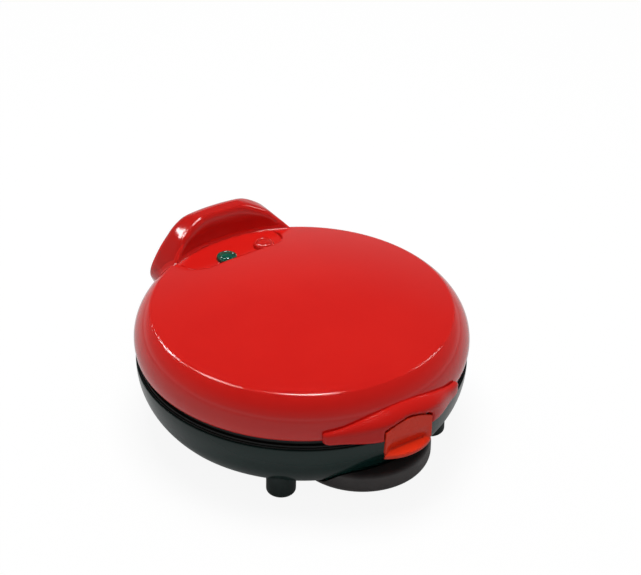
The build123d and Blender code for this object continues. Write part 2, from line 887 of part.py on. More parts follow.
# Base bowl: glossy black shell with a hatch below and a hole for the cord gland
with BuildPart() as base_bowl:
    add(bowl_solid)
    add(bowl_form(bowl_wall), mode=Mode.SUBTRACT)
    with BuildSketch(Plane.XY):
        Circle(bowl_hatch_radius)
        with Locations(*bottom_screw_places, *grip_screw_places, *foot_places.values()):
            Circle(screw_radius + running_gap)
    extrude(amount=cover_top_height, mode=Mode.SUBTRACT)
    with BuildSketch(Plane.XZ.offset(-bowl_floor_radius)):
        with Locations((0, gland_height)):
            Circle(gland_radius + running_gap)
    extrude(amount=-overrun, mode=Mode.SUBTRACT)
finish(base_bowl, "base_bowl")

# Base collar: matt ring on the bowl that seats the lower plate and carries the hinge lugs
with BuildPart() as base_collar:
    with BuildSketch(Plane.XZ):
        with BuildLine():
            Polyline(
                (plate_ledge_radius, collar_ledge_height),
                (collar_spigot_radius, collar_ledge_height),
                (collar_spigot_radius, bowl_top_height),
                (collar_flange_radius, bowl_top_height),
                (collar_flange_radius, collar_flange_top),
                (collar_radius, collar_flange_top),
                (collar_radius, collar_top_height),
                (plate_bore_radius, collar_top_height),
                (plate_bore_radius, lower_plate_bottom),
                (plate_ledge_radius, lower_plate_bottom),
                close=True,
            )
        make_face()
    revolve(axis=Axis.Z)
    for side in (-1, 1):
        with BuildSketch(Plane.YZ.offset(side * hinge_lug_centre)):
            with Locations((hinge_reach, hinge_height)):
                Circle(hinge_knuckle_radius)
            with Locations((hinge_reach, bowl_top_height)):
                Rectangle(
                    hinge_reach - plate_bore_radius,
                    collar_top_height - bowl_top_height,
                    align=(Align.MAX, Align.MIN),
                )
        extrude(amount=hinge_lug_width / 2, both=True)
    with BuildSketch(Plane.XY.offset(bowl_top_height)):
        Circle(plate_bore_radius)
    extrude(amount=overrun, mode=Mode.SUBTRACT)
    with Locations(hinge_axis):
        Cylinder(hinge_pin_radius + running_gap, overrun * 2, mode=Mode.SUBTRACT)
finish(base_collar, "base_collar")

with BuildPart() as latch_catch:
    with Locations((0, 0, collar_flange_top)):
        Box(
            2 * catch_half_width,
            catch_reach,
            catch_thickness,
            align=(Align.CENTER, Align.MAX, Align.MIN),
        )
    with BuildSketch(Plane.XY.offset(collar_flange_top)):
        Circle(collar_radius)
    extrude(amount=overrun, mode=Mode.SUBTRACT)
    nose = latch_catch.edges().filter_by(Axis.X).group_by(Axis.Y)[0]
    chamfer(nose, catch_thickness * end_chamfer_share)
finish(latch_catch, "latch_catch")

# Hinge ears on the lid frame and the pins that they turn on
for name, side in (("left", -1), ("right", 1)):
    with BuildPart() as ear:
        with BuildSketch(Plane.YZ.offset(side * hinge_ear_centre)):
            with Locations((hinge_reach, hinge_height)):
                Circle(hinge_knuckle_radius)
            with Locations((hinge_reach, hinge_height)):
                Rectangle(
                    hinge_arm_width,
                    ear_seat_height - hinge_height,
                    align=(Align.CENTER, Align.MIN),
                )
            with Locations((hinge_reach, frame_top_height)):
                Rectangle(
                    hinge_ear_inset, hinge_ear_thickness, align=(Align.MAX, Align.MIN)
                )
        extrude(amount=hinge_ear_width / 2, both=True)
        with Locations(hinge_axis):
            Cylinder(hinge_pin_radius + running_gap, overrun * 2, mode=Mode.SUBTRACT)
        with BuildSketch(Plane.XY.offset(frame_top_height)):
            with Locations(*ear_screw_places):
                Circle(screw_radius + running_gap)
        extrude(amount=overrun, mode=Mode.SUBTRACT)
    finish(ear, f"hinge_ear_{name}")
    with BuildPart() as pin:
        pin_length = hinge_lug_width + hinge_ear_gap + hinge_ear_width
        pin_centre = side * (hinge_lug_inner + pin_length / 2)
        with Locations(Location((pin_centre, hinge_reach, hinge_height), (0, 90, 0))):
            Cylinder(hinge_pin_radius, pin_length)
        chamfer(pin.edges().filter_by(GeomType.CIRCLE), hinge_pin_radius * end_chamfer_share)
    finish(pin, f"hinge_pin_{name}")

# Feet under the bowl with a rubber pad in each
for name, (x, y) in foot_places.items():
    with BuildPart() as foot:
        with BuildSketch(Plane.XY.offset(foot_pad_proud)):
            with Locations((x, y)):
                Circle(foot_radius)
        extrude(amount=bowl_belly_height)
        fillet(foot.edges().filter_by(GeomType.CIRCLE).group_by(Axis.Z)[0], foot_round)
        add(bowl_solid, mode=Mode.SUBTRACT)
        with BuildSketch(Plane.XY):
            with Locations((x, y)):
                Circle(foot_pad_radius)
        extrude(amount=foot_pad_thickness, mode=Mode.SUBTRACT)
        with BuildSketch(Plane.XY.offset(cover_bottom_height)):
            with Locations((x, y)):
                Circle(screw_radius + running_gap)
        extrude(amount=-screw_grip_length, mode=Mode.SUBTRACT)
    finish(foot, f"foot_{name}")
    with BuildPart() as pad:
        with BuildSketch(Plane.XY):
            with Locations((x, y)):
                Circle(foot_pad_radius)
        extrude(amount=foot_pad_thickness)
        chamfer(pad.edges().filter_by(GeomType.CIRCLE).group_by(Axis.Z)[0], foot_pad_proud * end_chamfer_share)
    finish(pad, f"foot_pad_{name}")

# Grip: grey lobe round the lower front corner of the bowl
with BuildPart() as front_grip:
    with BuildSketch(Plane.XY.offset(grip_bottom_height)):
        with Locations((0, -grip_centre)):
            Circle(grip_radius)
    extrude(amount=grip_top_height - grip_bottom_height)
    rims = front_grip.edges().filter_by(GeomType.CIRCLE)
    fillet(rims.group_by(Axis.Z)[0], grip_bottom_round)
    fillet(front_grip.edges().filter_by(GeomType.CIRCLE).group_by(Axis.Z)[-1], grip_top_round)
    with BuildSketch(Plane.XY):
        with Locations((0, -grip_rear)):
            Rectangle(2 * grip_radius, grip_radius, align=(Align.CENTER, Align.MIN))
    extrude(amount=grip_top_height, mode=Mode.SUBTRACT)
    add(bowl_form(-grip_gap), mode=Mode.SUBTRACT)
    with BuildSketch(Plane.XY.offset(bowl_floor_height)):
        with Locations((0, -grip_screw_row)):
            Rectangle(2 * (grip_screw_offset + boss_radius), grip_pad_depth)
    extrude(amount=-2 * grip_gap)
    with BuildSketch(Plane.XY.offset(cover_bottom_height)):
        with Locations(*grip_screw_places):
            Circle(screw_radius + running_gap)
    extrude(amount=-screw_grip_length, mode=Mode.SUBTRACT)
finish(front_grip, "front_grip")

# Bottom cover with vents, the terminal block on it and the cord gland at the rear
with BuildPart() as bottom_cover:
    with BuildSketch(Plane.XY.offset(cover_bottom_height)):
        Circle(cover_radius)
        with GridLocations(vent_pitch, 0, vent_count, 1):
            SlotOverall(vent_length, vent_width, rotation=90, mode=Mode.SUBTRACT)
    extrude(amount=cover_thickness)
    with BuildSketch(Plane.XY.offset(cover_bottom_height)):
        with Locations(*bottom_screw_places):
            Circle(boss_radius)
    extrude(amount=screw_grip_length)
    with BuildSketch(Plane.XY.offset(bowl_floor_height)):
        with Locations(*bottom_screw_places):
            Circle(screw_radius + running_gap)
    extrude(amount=screw_grip_length, mode=Mode.SUBTRACT)
finish(bottom_cover, "bottom_cover")

with BuildPart() as terminal_block:
    with Locations((0, terminal_offset, cover_top_height)):
        Box(
            terminal_width,
            terminal_depth,
            terminal_height,
            align=(Align.CENTER, Align.CENTER, Align.MIN),
        )
    with BuildSketch(Plane.XZ.offset(-terminal_offset)):
        with Locations((0, cover_top_height + terminal_height / 2)):
            with GridLocations(terminal_pitch, 0, terminal_count, 1):
                Circle(terminal_hole_radius)
    extrude(amount=terminal_depth, both=True, mode=Mode.SUBTRACT)
finish(terminal_block, "terminal_block")

with BuildPart() as cord_gland:
    with BuildSketch(Plane.YZ):
        with BuildLine():
            Polyline(
                (gland_inner_reach, gland_height + gland_bore_radius),
                (gland_inner_reach, gland_height + gland_collar_radius),
                (gland_wall_reach, gland_height + gland_collar_radius),
                (gland_wall_reach, gland_height + gland_flare_radius),
                (latch_lip_reach, gland_height + gland_tip_radius),
                (latch_lip_reach, gland_height + gland_bore_radius),
                close=True,
            )
        make_face()
    revolve(axis=Axis((0, 0, gland_height), (0, 1, 0)))
    add(base_bowl.part, mode=Mode.SUBTRACT)
finish(cord_gland, "cord_gland")

# Screws, one set to each joint of two pieces
screw_sets = {
    "frame_screws": (boss_places, frame_screw_seat, 1),
    "ear_screws": (ear_screw_places, ear_seat_height, -1),
    "upper_plate_screws": (post_places, frame_top_height + reflector_depth, -1),
    "lower_plate_screws": (post_places, collar_ledge_height - reflector_depth, 1),
    "bottom_screws": (bottom_screw_places, bowl_floor_height, 1),
    "grip_screws": (grip_screw_places, cover_bottom_height, -1),
    "foot_screws": (foot_places.values(), cover_bottom_height, -1),
}
for name, (places, seat, direction) in screw_sets.items():
    finish(screws(places, seat, direction), name)
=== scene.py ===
"""Finishes, small forms, light and camera for a countertop arepa maker, in metres throughout."""

import math

import bpy
from mathutils import Matrix, Vector


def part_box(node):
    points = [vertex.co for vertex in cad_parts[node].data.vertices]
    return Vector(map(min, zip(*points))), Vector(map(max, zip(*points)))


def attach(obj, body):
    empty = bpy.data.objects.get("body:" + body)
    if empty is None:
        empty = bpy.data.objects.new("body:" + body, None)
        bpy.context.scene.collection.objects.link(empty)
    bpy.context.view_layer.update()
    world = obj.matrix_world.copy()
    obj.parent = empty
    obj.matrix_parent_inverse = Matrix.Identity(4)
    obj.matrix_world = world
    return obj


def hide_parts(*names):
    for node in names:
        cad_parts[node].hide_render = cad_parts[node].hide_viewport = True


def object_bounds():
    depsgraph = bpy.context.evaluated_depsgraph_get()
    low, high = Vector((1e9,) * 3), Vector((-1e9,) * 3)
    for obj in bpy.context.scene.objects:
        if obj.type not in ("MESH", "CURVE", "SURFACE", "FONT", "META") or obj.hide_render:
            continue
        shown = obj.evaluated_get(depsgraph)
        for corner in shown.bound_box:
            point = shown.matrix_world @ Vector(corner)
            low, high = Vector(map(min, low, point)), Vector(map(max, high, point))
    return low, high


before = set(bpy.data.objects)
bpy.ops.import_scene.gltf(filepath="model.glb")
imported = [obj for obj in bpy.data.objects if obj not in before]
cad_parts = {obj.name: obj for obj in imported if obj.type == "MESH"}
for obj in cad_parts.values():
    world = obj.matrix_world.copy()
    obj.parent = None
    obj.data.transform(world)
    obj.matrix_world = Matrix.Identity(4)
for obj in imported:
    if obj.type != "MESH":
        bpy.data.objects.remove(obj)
cad_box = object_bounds()
bpy.ops.object.select_all(action="DESELECT")

to_right, to_back, up = Vector((1, 0, 0)), Vector((0, 1, 0)), Vector((0, 0, 1))
white = (1, 1, 1, 1)
edge_samples = 6
merging_distance = 0.000002


def heading(azimuth, elevation):
    """Unit vector towards an azimuth, 0 at the front and 90 at the right, and an elevation."""
    a, e = math.radians(azimuth), math.radians(elevation)
    return Vector((math.sin(a) * math.cos(e), -math.cos(a) * math.cos(e), math.sin(e)))


# Camera: a long lens over the front left, turned a hair clockwise
picture_width, picture_height = 641, 575
sensor_width = 36.0
focal_pixels = 2651.9
nearest_seen, farthest_seen = 0.1, 50
camera_distance = 2.0
camera_azimuth, camera_elevation = -35.0, 34.62
camera_roll = math.radians(0.8585)
aim = Vector((0, 0, 0.05))
aim_pixel = (301.45, 358.78)

backwards = heading(camera_azimuth, camera_elevation)
level = up.cross(backwards).normalized()
upright = backwards.cross(level)
across = level * math.cos(camera_roll) + upright * math.sin(camera_roll)
upwards = upright * math.cos(camera_roll) - level * math.sin(camera_roll)
off_centre = (
    (picture_width / 2 - aim_pixel[0]) / focal_pixels,
    (aim_pixel[1] - picture_height / 2) / focal_pixels,
)
sight = (across * off_centre[0] + upwards * off_centre[1] - backwards).normalized()
across = (across - sight * across.dot(sight)).normalized()
upwards = across.cross(sight)
camera_axes = Matrix((across, upwards, -sight)).transposed().to_4x4()
bpy.ops.object.camera_add()
camera = bpy.context.object
camera.name = "camera"
camera.matrix_world = Matrix.Translation(aim + backwards * camera_distance) @ camera_axes
camera.data.sensor_width = sensor_width
camera.data.lens = focal_pixels * sensor_width / picture_width
camera.data.clip_start, camera.data.clip_end = nearest_seen, farthest_seen
bpy.context.scene.camera = camera
bpy.context.scene.view_settings.view_transform = "Standard"


class Wire:
    """An output socket; arithmetic on it adds Math nodes to its tree."""

    def __init__(self, nodes, socket):
        self.nodes, self.socket = nodes, socket

    def maths(self, operation, *values):
        return self.nodes.node("ShaderNodeMath", {"operation": operation}, dict(enumerate(values)))

    def __add__(self, other):
        return self.maths("ADD", self, other)

    def __sub__(self, other):
        return self.maths("SUBTRACT", self, other)

    def __rsub__(self, other):
        return self.maths("SUBTRACT", other, self)

    def __mul__(self, other):
        return self.maths("MULTIPLY", self, other)

    __radd__ = __add__
    __rmul__ = __mul__


class Nodes:
    """The node tree of a material or of the world."""

    def __init__(self, owner):
        owner.use_nodes = True
        self.owner, self.tree = owner, owner.node_tree

    def join(self, value, socket):
        """Lead a wire to a socket, or set the socket to a plain value."""
        if isinstance(value, Wire):
            self.tree.links.new(value.socket, socket)
        else:
            socket.default_value = value

    def node(self, kind, settings, inputs, output=0):
        """Add a node: its settings first, ramp stops among them, then its values and wires."""
        made = self.tree.nodes.new(kind)
        for key, value in settings.items():
            if key == "stops":
                while len(made.color_ramp.elements) < len(value):
                    made.color_ramp.elements.new(1)
                for element, (position, colour) in zip(made.color_ramp.elements, value):
                    element.position, element.color = position, (*colour, 1)
            else:
                setattr(made, key, value)
        for key, value in inputs.items():
            self.join(value, made.inputs[key])
        return Wire(self, made.outputs[output])

    def height_in(self, vector):
        """The upright part of a place or a direction."""
        return self.node("ShaderNodeSeparateXYZ", {}, {"Vector": vector}, "Z")

    def rays(self):
        """Masks of the camera's own rays, of mirrored rays and of rays seen through a lens."""
        return [
            self.node("ShaderNodeLightPath", {}, {}, f"Is {kind} Ray")
            for kind in ("Camera", "Glossy", "Transmission")
        ]


class Finish(Nodes):
    """A material, its patterns laid out in the object's own coordinates."""

    def __init__(self, name, **shader):
        super().__init__(bpy.data.materials.new(name))
        self.surface = self.tree.nodes["Principled BSDF"]
        self.place = self.node("ShaderNodeTexCoord", {}, {}, "Object")
        self.dress(**shader)

    def dress(self, **shader):
        """Set the surface's sockets, their names written with underscores."""
        for key, value in shader.items():
            if isinstance(value, tuple):
                value = (*value, 1)
            socket = key.replace("_", " ").title().replace("Ior", "IOR")
            self.join(value, self.surface.inputs[socket])

    def cloud(self, scale, detail, stretch=None):
        """Soft noise round a half, its scale in patches to the metre."""
        place = self.place
        if stretch:
            place = self.node("ShaderNodeMapping", {}, {"Vector": place, "Scale": stretch})
        pattern = {"Vector": place, "Scale": scale, "Detail": detail}
        return self.node("ShaderNodeTexNoise", {}, pattern)

    def between(self, wire, low, high, start=0.35, end=0.65):
        """The wire's range from start to end, spread from low to high and held there."""
        steps = {0: wire, 1: start, 2: end, 3: low, 4: high}
        return self.node("ShaderNodeMapRange", {"interpolation_type": "SMOOTHSTEP"}, steps)

    def tint(self, mask, first, second):
        """Colour that goes from the first to the second as the mask rises."""
        ends = {0: mask, 6: (*first, 1), 7: (*second, 1)}
        return self.node("ShaderNodeMix", {"data_type": "RGBA"}, ends, 2)

    def mottle(self, noise, colours):
        """Two colours blended by a noise, given as cloud takes it."""
        return self.tint(self.between(self.cloud(*noise), 0, 1), *colours)

    def relief(self, height, depth, edge=None):
        """Bump of a height wire, its full depth in metres, on edges softened by a radius."""
        inputs = {"Height": height, "Distance": depth, "Strength": 1.0}
        if edge:
            settings = {"samples": edge_samples}
            inputs["Normal"] = self.node("ShaderNodeBevel", settings, {"Radius": edge})
        return self.node("ShaderNodeBump", {}, inputs)


# Edges of the lid cover get rounder over these heights, where its hood leaves the dome
hood_edge_heights = (0.107, 0.113)


def moulded(
    name, colours, patches, roughness, haze, depth, pebble, edge=None, hood_edge=None, **shader
):
    """Plastic or rubber with two blended colours, uneven gloss and a fine relief.

    The colours follow the noise in patches, the roughness the one in haze, and the relief
    the one in pebble. Each noise is a scale, a detail and, where it is drawn out, a stretch.
    """
    made = Finish(name, **shader)
    if hood_edge:
        edge = made.between(made.height_in(made.place), edge, hood_edge, *hood_edge_heights)
    made.dress(
        base_color=made.mottle(patches, colours),
        roughness=made.between(made.cloud(*haze), *roughness),
        normal=made.relief(made.cloud(*pebble), depth, edge),
    )
    return made


# Polished mouldings: faint flow streaks, fingertip smudges and soft edges
polished = {"patches": (9, 3, (1, 1, 2.5)), "haze": (55, 4), "depth": 0.00003, "pebble": (130, 1)}
red_gloss = moulded(
    "red_gloss",
    colours=((0.74, 0.0145, 0.0100), (0.71, 0.0125, 0.0090)),
    roughness=(0.045, 0.085),
    edge=0.0026,
    hood_edge=0.009,
    specular_ior_level=0.5,
    **polished,
)
# The hood is the same red moulding as the lid cover; its darker red is painted shade.
hood_red_painted_shade = moulded(
    "hood_red_painted_shade",
    colours=((0.60, 0.0115, 0.0085), (0.56, 0.0105, 0.0080)),
    roughness=(0.07, 0.12),
    edge=0.0020,
    specular_ior_level=0.4,
    **polished,
)
visor_red = moulded(
    "visor_red",
    colours=((0.68, 0.0140, 0.0100), (0.65, 0.0125, 0.0090)),
    roughness=(0.12, 0.18),
    edge=0.0030,
    specular_ior_level=0.28,
    **polished,
)
red_satin = moulded(
    "red_satin",
    colours=((0.72, 0.0340, 0.0095), (0.68, 0.0290, 0.0085)),
    roughness=(0.26, 0.34),
    edge=0.0006,
    specular_ior_level=0.25,
    **polished,
)
black_gloss = moulded(
    "black_gloss",
    colours=((0.0050, 0.0240, 0.0205), (0.0045, 0.0190, 0.0170)),
    roughness=(0.10, 0.18),
    edge=0.0020,
    specular_ior_level=0.3,
    **polished,
)

# Duller mouldings: the grip, the foot pads and the terminal block
grey_grip = moulded(
    "grey_grip",
    colours=((0.036, 0.030, 0.030), (0.046, 0.039, 0.038)),
    patches=(60, 5),
    roughness=(0.36, 0.46),
    haze=(35, 3),
    depth=0.00007,
    pebble=(1300, 2),
    specular_ior_level=0.5,
)
pad_rubber = moulded(
    "pad_rubber",
    colours=((0.012, 0.012, 0.012), (0.03, 0.029, 0.028)),
    patches=(220, 4),
    roughness=(0.7, 0.9),
    haze=(160, 3),
    depth=0.0001,
    pebble=(1800, 2),
    specular_ior_level=0.3,
)
terminal_white = moulded(
    "terminal_white",
    colours=((0.78, 0.76, 0.68), (0.84, 0.82, 0.76)),
    patches=(130, 3),
    roughness=(0.35, 0.5),
    haze=(90, 3),
    depth=0.00005,
    pebble=(900, 1),
    specular_ior_level=0.5,
)

# Indicator lenses: tinted clear plastic with faint haze
lens_plastic = {
    "patches": (160, 2),
    "roughness": (0.03, 0.09),
    "haze": (300, 3),
    "depth": 0.00003,
    "pebble": (260, 1),
    "specular_ior_level": 0.6,
    "ior": 1.49,
}
green_lens = moulded(
    "green_lens",
    colours=((0.002, 0.115, 0.070), (0.006, 0.190, 0.115)),
    transmission_weight=0.45,
    **lens_plastic,
)
red_lens = moulded(
    "red_lens",
    colours=((0.70, 0.016, 0.011), (0.74, 0.020, 0.014)),
    transmission_weight=0.12,
    **lens_plastic,
)

lamp_glass = Finish("lamp_glass", ior=1.5, transmission_weight=0.9, specular_ior_level=0.5)
lamp_glass.dress(
    base_color=lamp_glass.mottle((400, 2), ((0.95, 0.80, 0.62), (0.9, 0.74, 0.55))),
    roughness=lamp_glass.between(lamp_glass.cloud(500, 2), 0.02, 0.08),
)


def textured_black(name, colour, depth, roughness, rub_gloss=0.14, rub_paleness=1.7):
    """Spark-eroded black moulding, paler and glossier where it is rubbed."""
    made = Finish(name, specular_ior_level=0.4)
    rub = made.between(made.cloud(70, 4), 0, 1, 0.5, 0.75)
    made.dress(
        base_color=made.tint(rub, colour, tuple(part * rub_paleness for part in colour)),
        roughness=roughness - rub_gloss * rub,
        normal=made.relief(made.cloud(1500, 2), depth),
    )
    return made


black_matte = textured_black("black_matte", (0.0050, 0.0060, 0.0055), 0.00012, 0.55)
hinge_black = textured_black("hinge_black", (0.0100, 0.0105, 0.0105), 0.00008, 0.45)
foot_black = textured_black("foot_black", (0.0060, 0.0160, 0.0150), 0.00006, 0.40)

# Cooking plates: a sprayed non-stick coat, speckled, slightly pebbled and worn in patches
nonstick_coating = Finish("nonstick_coating", specular_ior_level=0.5)
speckle = {"Vector": nonstick_coating.place, "Scale": 900.0}
fleck = nonstick_coating.node("ShaderNodeTexVoronoi", {}, speckle)
spots = nonstick_coating.between(fleck, 1, 0, 0.08, 0.2)
worn = nonstick_coating.between(nonstick_coating.cloud(30, 5), 0, 1, 0.45, 0.7)
pale = spots * 0.5 + 0.25 * worn
nonstick_coating.dress(
    base_color=nonstick_coating.tint(pale, (0.016, 0.016, 0.017), (0.12, 0.12, 0.125)),
    roughness=nonstick_coating.between(worn, 0.34, 0.48, 0, 1),
    normal=nonstick_coating.relief(nonstick_coating.cloud(700, 3), 0.00009),
)


def bare_metal(name, colours, roughness, grain, depth):
    """Metal with patches of another tinge, its drawn grain stretched along the three axes."""
    made = Finish(name, metallic=1.0)
    lines = made.cloud(90, 3, grain)
    made.dress(
        base_color=made.mottle((45, 4), colours),
        roughness=made.between(lines, *roughness),
        normal=made.relief(lines, depth),
    )
    return made


reflector_sheet = bare_metal(
    "reflector_sheet", ((0.74, 0.73, 0.71), (0.66, 0.63, 0.56)), (0.2, 0.36), (1, 14, 1), 0.00006
)
heater_sheath = bare_metal(
    "heater_sheath", ((0.23, 0.21, 0.18), (0.33, 0.26, 0.19)), (0.3, 0.5), (6, 6, 6), 0.00004
)
component_metal = bare_metal(
    "component_metal", ((0.62, 0.61, 0.57), (0.55, 0.55, 0.54)), (0.25, 0.4), (8, 8, 8), 0.00003
)
steel = bare_metal(
    "steel", ((0.56, 0.55, 0.54), (0.50, 0.50, 0.49)), (0.2, 0.34), (10, 10, 10), 0.00002
)


def on_feet(stem):
    """Names of the four nodes, one on each foot, that start with a stem."""
    return [f"{stem}_{end}_{side}" for end in ("front", "rear") for side in ("left", "right")]


def coat(piece, finish):
    """Give a piece one finish all over."""
    piece.data.materials.clear()
    piece.data.materials.append(finish.owner)


finish_of_nodes = (
    (red_gloss, ("lid_cover",)),
    (visor_red, ("visor_handle",)),
    (red_satin, ("latch",)),
    (black_gloss, ("base_bowl",)),
    (black_matte, ("base_collar", "lid_frame", "latch_catch", "bottom_cover", "cord_gland")),
    (hinge_black, ("hinge_ear_left", "hinge_ear_right")),
    (foot_black, on_feet("foot")),
    (pad_rubber, on_feet("foot_pad")),
    (grey_grip, ("front_grip",)),
    (nonstick_coating, ("lower_plate", "upper_plate")),
    (reflector_sheet, ("lower_reflector", "upper_reflector")),
    (heater_sheath, ("lower_heater", "upper_heater")),
    (component_metal, ("lower_thermostat", "upper_thermostat", "thermal_fuse")),
    (terminal_white, ("terminal_block",)),
    (green_lens, ("ready_lens",)),
    (red_lens, ("power_lens",)),
    (lamp_glass, ("ready_lamp", "power_lamp")),
    (steel, ("hinge_pin_left", "hinge_pin_right", "latch_pin", "latch_spring")),
    (steel, ("bottom_screws", "grip_screws", "foot_screws", "frame_screws", "ear_screws")),
    (steel, ("lower_plate_screws", "upper_plate_screws")),
)
for finish, names in finish_of_nodes:
    for name in names:
        coat(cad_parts[name], finish)


def trace(corners, centre, side, along):
    """Start a mesh and extrude it through corners, in millimetres to the side and along."""
    path = [centre + (side * radius + along * height) / 1000 for radius, height in corners]
    bpy.ops.object.select_all(action="DESELECT")
    bpy.ops.mesh.primitive_plane_add(size=0.001, location=path[0])
    bpy.ops.object.mode_set(mode="EDIT")
    bpy.ops.mesh.merge(type="CENTER")
    for before, after in zip(path, path[1:]):
        bpy.ops.mesh.extrude_region_move(TRANSFORM_OT_translate={"value": after - before})
    bpy.ops.mesh.select_all(action="SELECT")


def revolve(steps, angle, centre, axis):
    """Spin the traced outline, close its seams and poles and turn its faces outwards."""
    bpy.ops.mesh.spin(steps=steps, angle=angle, center=centre, axis=axis)
    bpy.ops.mesh.select_all(action="SELECT")
    bpy.ops.mesh.remove_doubles(threshold=merging_distance)
    bpy.ops.mesh.normals_make_consistent(inside=False)
    bpy.ops.object.mode_set(mode="OBJECT")


def settled(name, crease=35):
    """Name the active piece, put its place into its mesh and smooth it up to an angle."""
    piece = bpy.context.object
    piece.name = piece.data.name = name
    bpy.ops.object.transform_apply(location=True, rotation=True, scale=True)
    bpy.ops.object.shade_smooth_by_angle(angle=math.radians(crease))
    return piece


def spun(name, corners, centre, side=to_right, along=up, steps=72):
    """Turned piece: its outline, as (radius, height) corners in millimetres, spun all round."""
    trace(corners, Vector(centre), side, along)
    revolve(steps, 2 * math.pi, centre, along)
    return settled(name)


def middle_of(node, height):
    """Place at a height over the middle of a CAD node."""
    low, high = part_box(node)
    return ((low.x + high.x) / 2, (low.y + high.y) / 2, height)


def select_only(*pieces):
    """Select these pieces and no others, the first of them active."""
    bpy.ops.object.select_all(action="DESELECT")
    for piece in pieces:
        piece.select_set(True)
    bpy.context.view_layer.objects.active = pieces[0]


def apply_modifier(piece, kind, **settings):
    """Change a piece by one modifier."""
    bpy.context.view_layer.objects.active = piece
    modifier = piece.modifiers.new(kind.lower(), kind)
    for key, value in settings.items():
        setattr(modifier, key, value)
    bpy.ops.object.modifier_apply(modifier=modifier.name)


def merged_copy(name, node):
    """New piece with a CAD node's mesh, its loose triangles merged."""
    piece = bpy.data.objects.new(name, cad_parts[node].data.copy())
    bpy.context.scene.collection.objects.link(piece)
    select_only(piece)
    bpy.ops.object.mode_set(mode="EDIT")
    bpy.ops.mesh.select_all(action="SELECT")
    bpy.ops.mesh.remove_doubles(threshold=merging_distance)
    bpy.ops.object.mode_set(mode="OBJECT")
    return piece


def soften(piece, grain, rounds, swell):
    """Remesh a piece evenly, swell it by what its place gives, and smooth its edges."""
    apply_modifier(piece, "REMESH", mode="VOXEL", voxel_size=grain)
    normals = [vertex.normal.copy() for vertex in piece.data.vertices]
    for vertex, normal in zip(piece.data.vertices, normals):
        vertex.co += normal * swell(vertex.co)
    apply_modifier(piece, "SMOOTH", factor=0.5, iterations=rounds)
    for vertex in piece.data.vertices:
        vertex.co.z = min(vertex.co.z, cad_box[1][2])
    settled(piece.name, crease=60)


def hand_over(piece, finish, body, slot, *nodes):
    """Give a piece its finish and body, and hide the CAD nodes given with it."""
    coat(piece, finish)
    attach(piece, body)
    if nodes:
        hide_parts(*nodes)


def eased(value):
    """0 to 1 with soft ends."""
    value = min(1, max(0, value))
    return value * value * (3 - 2 * value)


# Hood: what of the lid cover is outside the lid's dome and side at the rear, cut out with
# a wedge whose inner outline follows both, then swollen towards its crest and rounded
wedge_half_angle = math.radians(37)
wedge_start = math.pi / 2 - wedge_half_angle
dome_radius, side_radius, wedge_radius = 66, 126.2, 160
wedge_foot, wedge_top = 50, 140
wedge_corners = (
    (dome_radius, 105.5),
    (90, 102.0),
    (113.7, 97.7),
    (119.9, 92.2),
    (124.2, 84.6),
    (side_radius, 76.5),
    (side_radius, wedge_foot),
    (wedge_radius, wedge_foot),
    (wedge_radius, wedge_top),
    (dome_radius, wedge_top),
)
centre_line = Vector((0, 0, 0))
trace(wedge_corners, centre_line, Vector((math.cos(wedge_start), math.sin(wedge_start), 0)), up)
bpy.ops.mesh.edge_face_add()
revolve(steps=48, angle=2 * wedge_half_angle, centre=centre_line, axis=-up)
outside_lid = bpy.context.object
bpy.ops.object.transform_apply(location=True, rotation=True, scale=True)
hood = merged_copy("hood", "lid_cover")
apply_modifier(hood, "BOOLEAN", operation="INTERSECT", object=outside_lid, solver="EXACT")
bpy.data.objects.remove(outside_lid)
hood_skin, hood_fullness = 0.0002, 0.0013
hood_foot, hood_rise = 0.103, 0.008


def hood_swell(place):
    """How far the hood stands proud of the CAD form: a thin skin, and more up its rise."""
    return hood_skin + hood_fullness * eased((place.z - hood_foot) / hood_rise)


soften(hood, grain=0.0009, rounds=56, swell=hood_swell)
hand_over(hood, hood_red_painted_shade, "lid", "red_gloss")

# Visor handle: the CAD form with soft ends and edges
visor_skin = 0.0003
visor = merged_copy("visor_soft", "visor_handle")
soften(visor, grain=0.0007, rounds=14, swell=lambda place: visor_skin)
hand_over(visor, visor_red, "lid", "red_gloss", "visor_handle")

# Indicator lenses: stem hollow for the lamp, flange, rolled rim, shallow groove and dome
lens_stem = [(0, -1.0), (3.05, -1.0), (3.05, -9.9), (3.3, -10), (5.0, -10), (5.0, -3.6)]
lens_flange = [(9.4, -3.6), (9.4, -2.5), (7.8, -2.5)]
lens_rim = [(7.8, 1.9), (7.6, 2.4), (7.1, 2.65), (6.5, 2.55), (6.15, 2.3)]
dome_reach, dome_foot, dome_rise = 5.9, 2.3, 1.8
lens_dome = [
    (dome_reach * math.sin(math.radians(a)), dome_foot + dome_rise * math.cos(math.radians(a)))
    for a in range(90, 0, -15)
]
lens_top = [(0, 4.1)]
lens_corners = lens_stem + lens_flange + lens_rim + lens_dome + lens_top
platform_height = 0.098
lenses = []
for name, slot, finish in (
    ("ready_lens", "green_lens", green_lens),
    ("power_lens", "red_lens", red_lens),
):
    lens = spun(f"{name}_dome", lens_corners, middle_of(name, platform_height))
    hand_over(lens, finish, "lid", slot, name)
    lenses.append(lens)

# Foot pads: moulded rings on the underside
pad_middle = [(0, 0.5), (1.6, 0.5), (1.9, 0.1), (2.9, 0), (3.2, 0.5)]
pad_ring = [(4.2, 0.5), (4.5, 0.1), (5.9, 0), (6.6, 0.35), (6.95, 1.2), (6.95, 2.9), (0, 2.9)]
for name in on_feet("foot_pad"):
    pad = spun(f"{name}_rings", pad_middle + pad_ring, middle_of(name, 0), steps=48)
    hand_over(pad, pad_rubber, "base", "pad_rubber", name)

